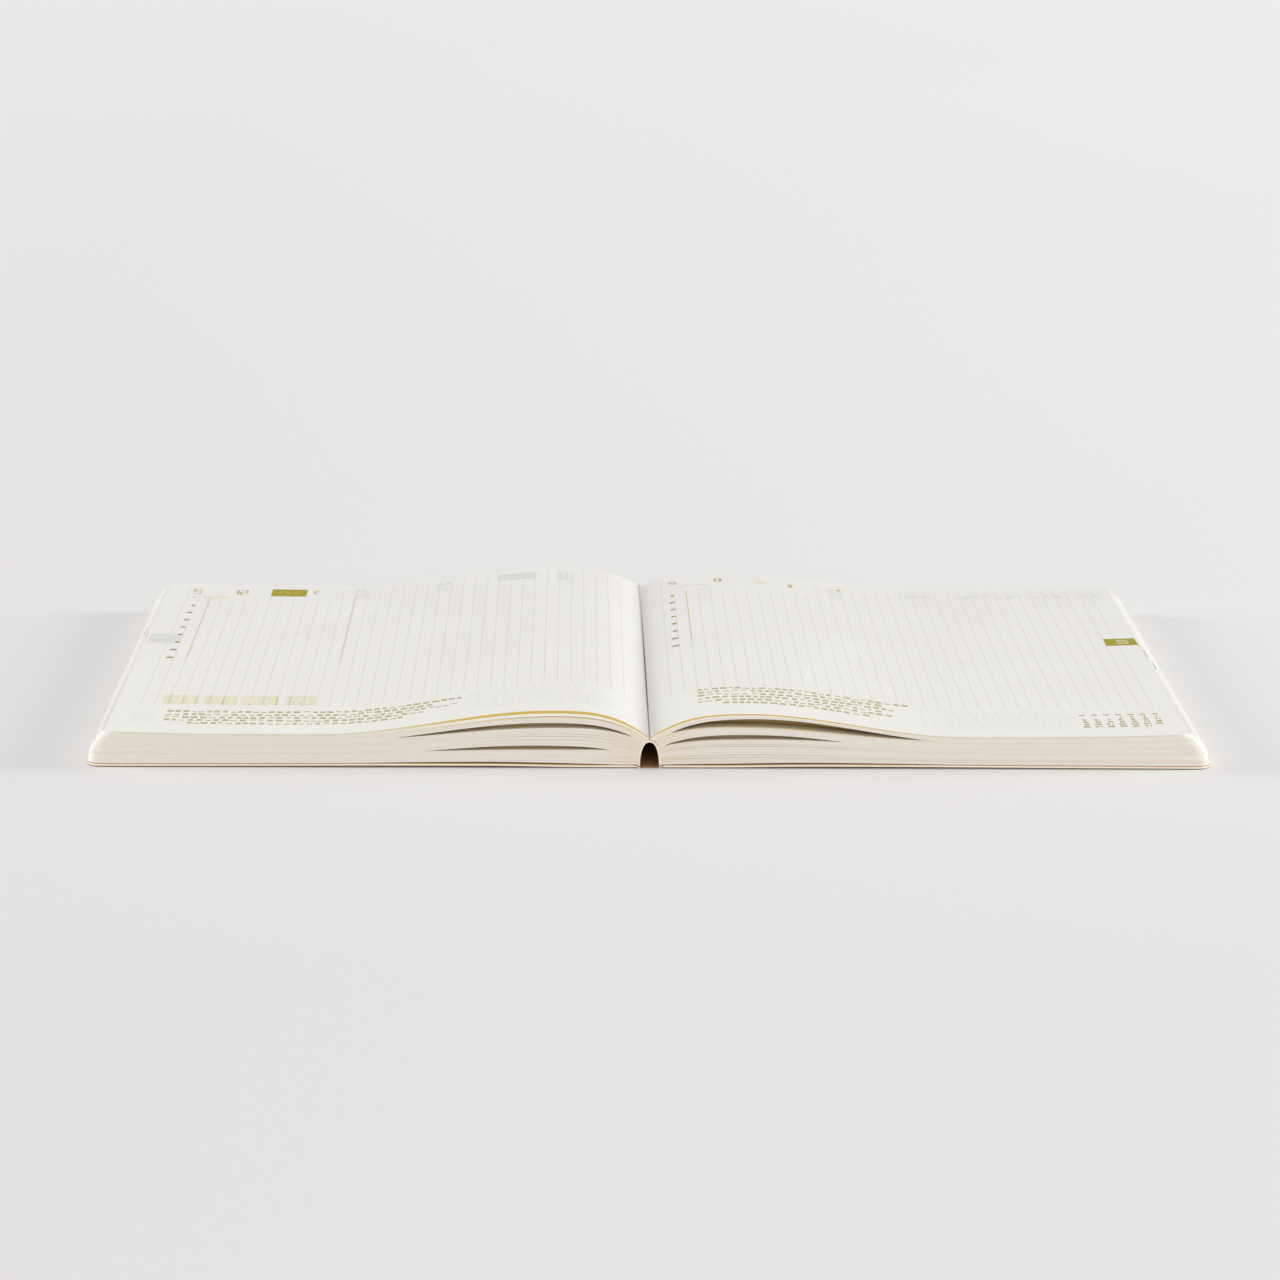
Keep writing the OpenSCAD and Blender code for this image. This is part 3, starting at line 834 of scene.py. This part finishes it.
# ---------------------------------------------------------------- spine, folds, covers
def bent_strip(name, centre, thickness, materials, share=1, head_rise=0.0):
    """A strip of even thickness along a centre line of (x, z), over a share of the spine's length. It bends
    where its centre line bends, about the gutter."""
    c = np.asarray(centre, float)
    d = np.gradient(c, axis=0)
    normal = np.column_stack([-d[:, 1], d[:, 0]]) / np.linalg.norm(d, axis=1)[:, None]
    t = np.broadcast_to(thickness, len(c))[:, None] / 2
    low, high = c - normal * t, c + normal * t
    build = Build()
    build.sheet(low, high, -share * HALF_H, share * HALF_H, head_rise)
    obj = build.make(name, materials)
    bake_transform(obj)
    return obj


def spine():
    a = np.linspace(0, np.pi, 81)
    half_w, top = ARCH_HALF_W - SPINE_T / 2, ARCH_TOP_Z - SPINE_T / 2
    arch = np.column_stack([-half_w * np.sign(np.cos(a)) * abs(np.cos(a)) ** ARCH_POWER,
                            top * np.sin(a) ** ARCH_POWER])
    arch[0, 1] = arch[-1, 1] = UNDER
    obj = bent_strip("spine_strip", arch, SPINE_T - UNDER, [CARD, CARD_EDGE, KRAFT])
    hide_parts("cover_spine_left", "cover_spine_right")


def hollow_liner(side, body):
    """A brown sheet flat on the table inside the spine's hollow, up to the foot of the arch: painted shade
    with a painted brown reflection of the card.
    """
    build = Build(side)
    shade_sheet_t, end_clear = 0.1, 0.6
    s = np.array([0.005, 1.2, ARCH_HALF_W - SPINE_T - UNDER])
    y = np.array([[-1.0], [1.0]]) * (HALF_H - end_clear) + np.zeros(len(s))
    build.strip(s, UNDER, UNDER + shade_sheet_t, y, 0)
    obj = build.make(("right" if side > 0 else "left") + "_hollow_liner", [KRAFT])
    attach(obj, body)


def gutter_fold():
    """The middle sheet of the open gathering: it joins the two top pages over the thread."""
    s = np.array([0.15, 0.25, 0.6, 1.1, 1.7, 2.6, 3.6])
    fold_t, sink, low_point, head_rise = 0.06, 0.05, GUTTER_Z + 0.1, 0.45
    left, right = (np.minimum(page_top(half, s, 0.0), page_top(half, s, 1.0)) - sink
                   for half in (LEFT, RIGHT))
    x = np.concatenate([-s[::-1], [0.0], s])
    z = np.concatenate([left[::-1], [low_point], right])
    bent_strip("gutter_fold", np.column_stack([x, z]), fold_t, [FOLD, EDGE, PAPER],
               share=0.9995, head_rise=head_rise * (abs(x) < 0.2))


def cover(side, name):
    """One cover of card, from its fold at the foot of the spine to the fore-edge."""
    build = Build(side)
    # stations beside the fold, along the bow and round the corners
    inner = ARCH_HALF_W + np.array([-0.35, 0, 0.3, 0.55, 0.8, 1.2, 1.9, 3.4, 6, 9])
    bow_s = np.linspace(COVER_FLAT_TO, REACH - CORNER_R, 30)
    turn = np.linspace(0, np.pi / 2, 9)
    s = np.concatenate([inner, bow_s, (REACH - CORNER_R + CORNER_R * np.sin(turn))[1:]])
    cut = np.concatenate([np.zeros(len(inner) + len(bow_s)), (CORNER_R - CORNER_R * np.cos(turn))[1:]])
    under = bed(s) - BED_Z
    # the card thins a little where it is creased for the fold
    crease_depth, crease_w = 0.16, 0.45
    crease = crease_depth * np.exp(-((s - HINGE_S) / crease_w) ** 2)
    y = np.array([-HALF_H + cut, HALF_H - cut])
    card, edge, kraft, skin = 0, 1, 2, 0.01
    build.strip(s, under + KRAFT_T, under + COVER_T - skin - crease, y, card, edge)
    build.strip(s - RIM * s / REACH, under + skin, under + KRAFT_T, y * (1 - RIM / HALF_H), kraft)
    obj = build.make(name + "_card", [CARD, CARD_EDGE, KRAFT])
    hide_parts(name)
    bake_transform(obj)


left = make_leaves(LEFT)
right = make_leaves(RIGHT)
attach(left, "front_block")
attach(right, "back_block")

left_ink, right_ink = print_left(), print_right()
fore_edge_marks(left_ink, LEFT, [(0.1, 1.0, 21, 31, "pink"), (1.1, 2.0, 31, 42, "purple")])
fore_edge_marks(right_ink, RIGHT, [(0.0, 0.9, 13.5, 22.5, "block"), (0.9, 1.6, 0.5, 11.5, "green"),
                                   (1.6, 2.4, -13.5, -3.5, "blue")])
step_lines(left_ink, LEFT)
step_lines(right_ink, RIGHT)
for obj, body in ((left_ink.make("left_print", list(INKS.values())), "front_block"),
                  (right_ink.make("right_print", list(INKS.values())), "back_block")):
    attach(obj, body)

spine()
hollow_liner(-1, "front_block")
hollow_liner(1, "back_block")
gutter_fold()
cover(-1, "front_cover")
cover(1, "back_cover")

for node, material in (("front_endpaper", ENDPAPER), ("back_endpaper", ENDPAPER), ("sewing_thread", THREAD),
                       ("spine_lining_left", GAUZE), ("spine_lining_right", GAUZE)):
    mesh = frame["nodes"][node].data
    mesh.materials.clear()
    mesh.materials.append(material)


# ---------------------------------------------------------------- floor, light, camera
def floor():
    bpy.ops.mesh.primitive_plane_add(size=1)
    obj = bpy.context.object
    obj.name = "floor"
    width, behind = 14, 3.5
    obj.scale = (width, width, 1)
    obj.location = (0, behind, 0)
    n = Nodes("floor", 0.9, 0.1)
    place = n.split(n.node("ShaderNodeNewGeometry").outputs["Position"])
    # painted light: the floor lighter towards the right
    across = n.ranged(place["X"], -0.25, 0.35)
    # painted light and painted shade: paler far behind the planner, a little darker in front of it
    far, near = n.ranged(place["Y"], 0.3, 2.8), n.ranged(place["Y"], -0.08, -0.3)
    cloud = n.noise(6, 2)
    colour = n.mix(across, srgb(226, 224, 223), srgb(236, 234, 233))
    colour = n.mix(far, colour, n.mix(0.3, colour, srgb(255, 254, 254)))
    colour = n.mix(near, colour, n.mix(0.25, colour, srgb(212, 210, 208)))
    colour = n.mix(cloud, colour, n.mix(0.5, colour, srgb(230, 228, 227)))
    obj.data.materials.append(n.done(colour))


def sun(name, azimuth, elevation, strength, angle):
    """A wide light; azimuth 0 is in front of the planner's tail, and 90 is on its right."""
    data = bpy.data.lights.new(name, "SUN")
    data.energy, data.angle = strength, math.radians(angle)
    obj = bpy.data.objects.new(name, data)
    a, e = math.radians(azimuth), math.radians(elevation)
    source = Vector((math.sin(a) * math.cos(e), -math.cos(a) * math.cos(e), math.sin(e)))
    obj.rotation_mode = "QUATERNION"
    obj.rotation_quaternion = source.to_track_quat("Z", "Y")
    bpy.context.scene.collection.objects.link(obj)


def world(strength):
    """Even light from all sides, which the camera doesn't see."""
    w = bpy.data.worlds.new("studio")
    bpy.context.scene.world = w
    w.use_nodes = True
    tree = w.node_tree
    light = tree.nodes["Background"]
    light.inputs["Color"].default_value = (1, 1, 1, 1)
    light.inputs["Strength"].default_value = strength
    # where the floor ends, the camera sees a pale backdrop
    seen = tree.nodes.new("ShaderNodeBackground")
    seen.inputs["Color"].default_value = srgb(236, 235, 234)
    seen.inputs["Strength"].default_value = 1.0
    path = tree.nodes.new("ShaderNodeLightPath")
    both = tree.nodes.new("ShaderNodeMath")
    both.operation = "MAXIMUM"
    tree.links.new(path.outputs["Is Camera Ray"], both.inputs[0])
    tree.links.new(path.outputs["Is Transmission Ray"], both.inputs[1])
    mix = tree.nodes.new("ShaderNodeMixShader")
    tree.links.new(both.outputs[0], mix.inputs["Fac"])
    tree.links.new(light.outputs[0], mix.inputs[1])
    tree.links.new(seen.outputs[0], mix.inputs[2])
    tree.links.new(mix.outputs[0], tree.nodes["World Output"].inputs["Surface"])


# the camera's place and turn come from the page's corners and edges in the photo
CAM_AT = (-19.8, -1327.3, 290.0)
YAW, PITCH, ROLL = math.radians(-0.80), math.radians(11.78), math.radians(0.345)
FOCAL_PX, FRAME_PX, SENSOR = 4700.6, 1280, 36.0


def camera():
    up = Vector((0, 0, 1))
    ahead = Vector((-math.sin(YAW), math.cos(YAW), 0))
    aside = Vector((math.cos(YAW), math.sin(YAW), 0))
    forward = ahead * math.cos(PITCH) - up * math.sin(PITCH)
    upward = ahead * math.sin(PITCH) + up * math.cos(PITCH)
    cam_x = aside * math.cos(ROLL) + upward * math.sin(ROLL)
    cam_y = upward * math.cos(ROLL) - aside * math.sin(ROLL)
    data = bpy.data.cameras.new("camera")
    data.sensor_width, data.lens = SENSOR, SENSOR * FOCAL_PX / FRAME_PX
    data.clip_start, data.clip_end = 0.05, 60
    obj = bpy.data.objects.new("camera", data)
    turn = Matrix((cam_x, cam_y, -forward)).transposed().to_4x4()
    obj.matrix_world = Matrix.Translation(Vector(CAM_AT) * MM) @ turn
    bpy.context.scene.collection.objects.link(obj)
    bpy.context.scene.camera = obj


floor()
world(0.4)
for light in (("overhead", 12, 72, 0.98, 50), ("side_left", -99, 13, 1.65, 24),
              ("side_right", 99, 13, 1.9, 24), ("front", 5, 15, 0.93, 40)):
    sun(*light)
camera()
bpy.context.scene.view_settings.view_transform = "Standard"
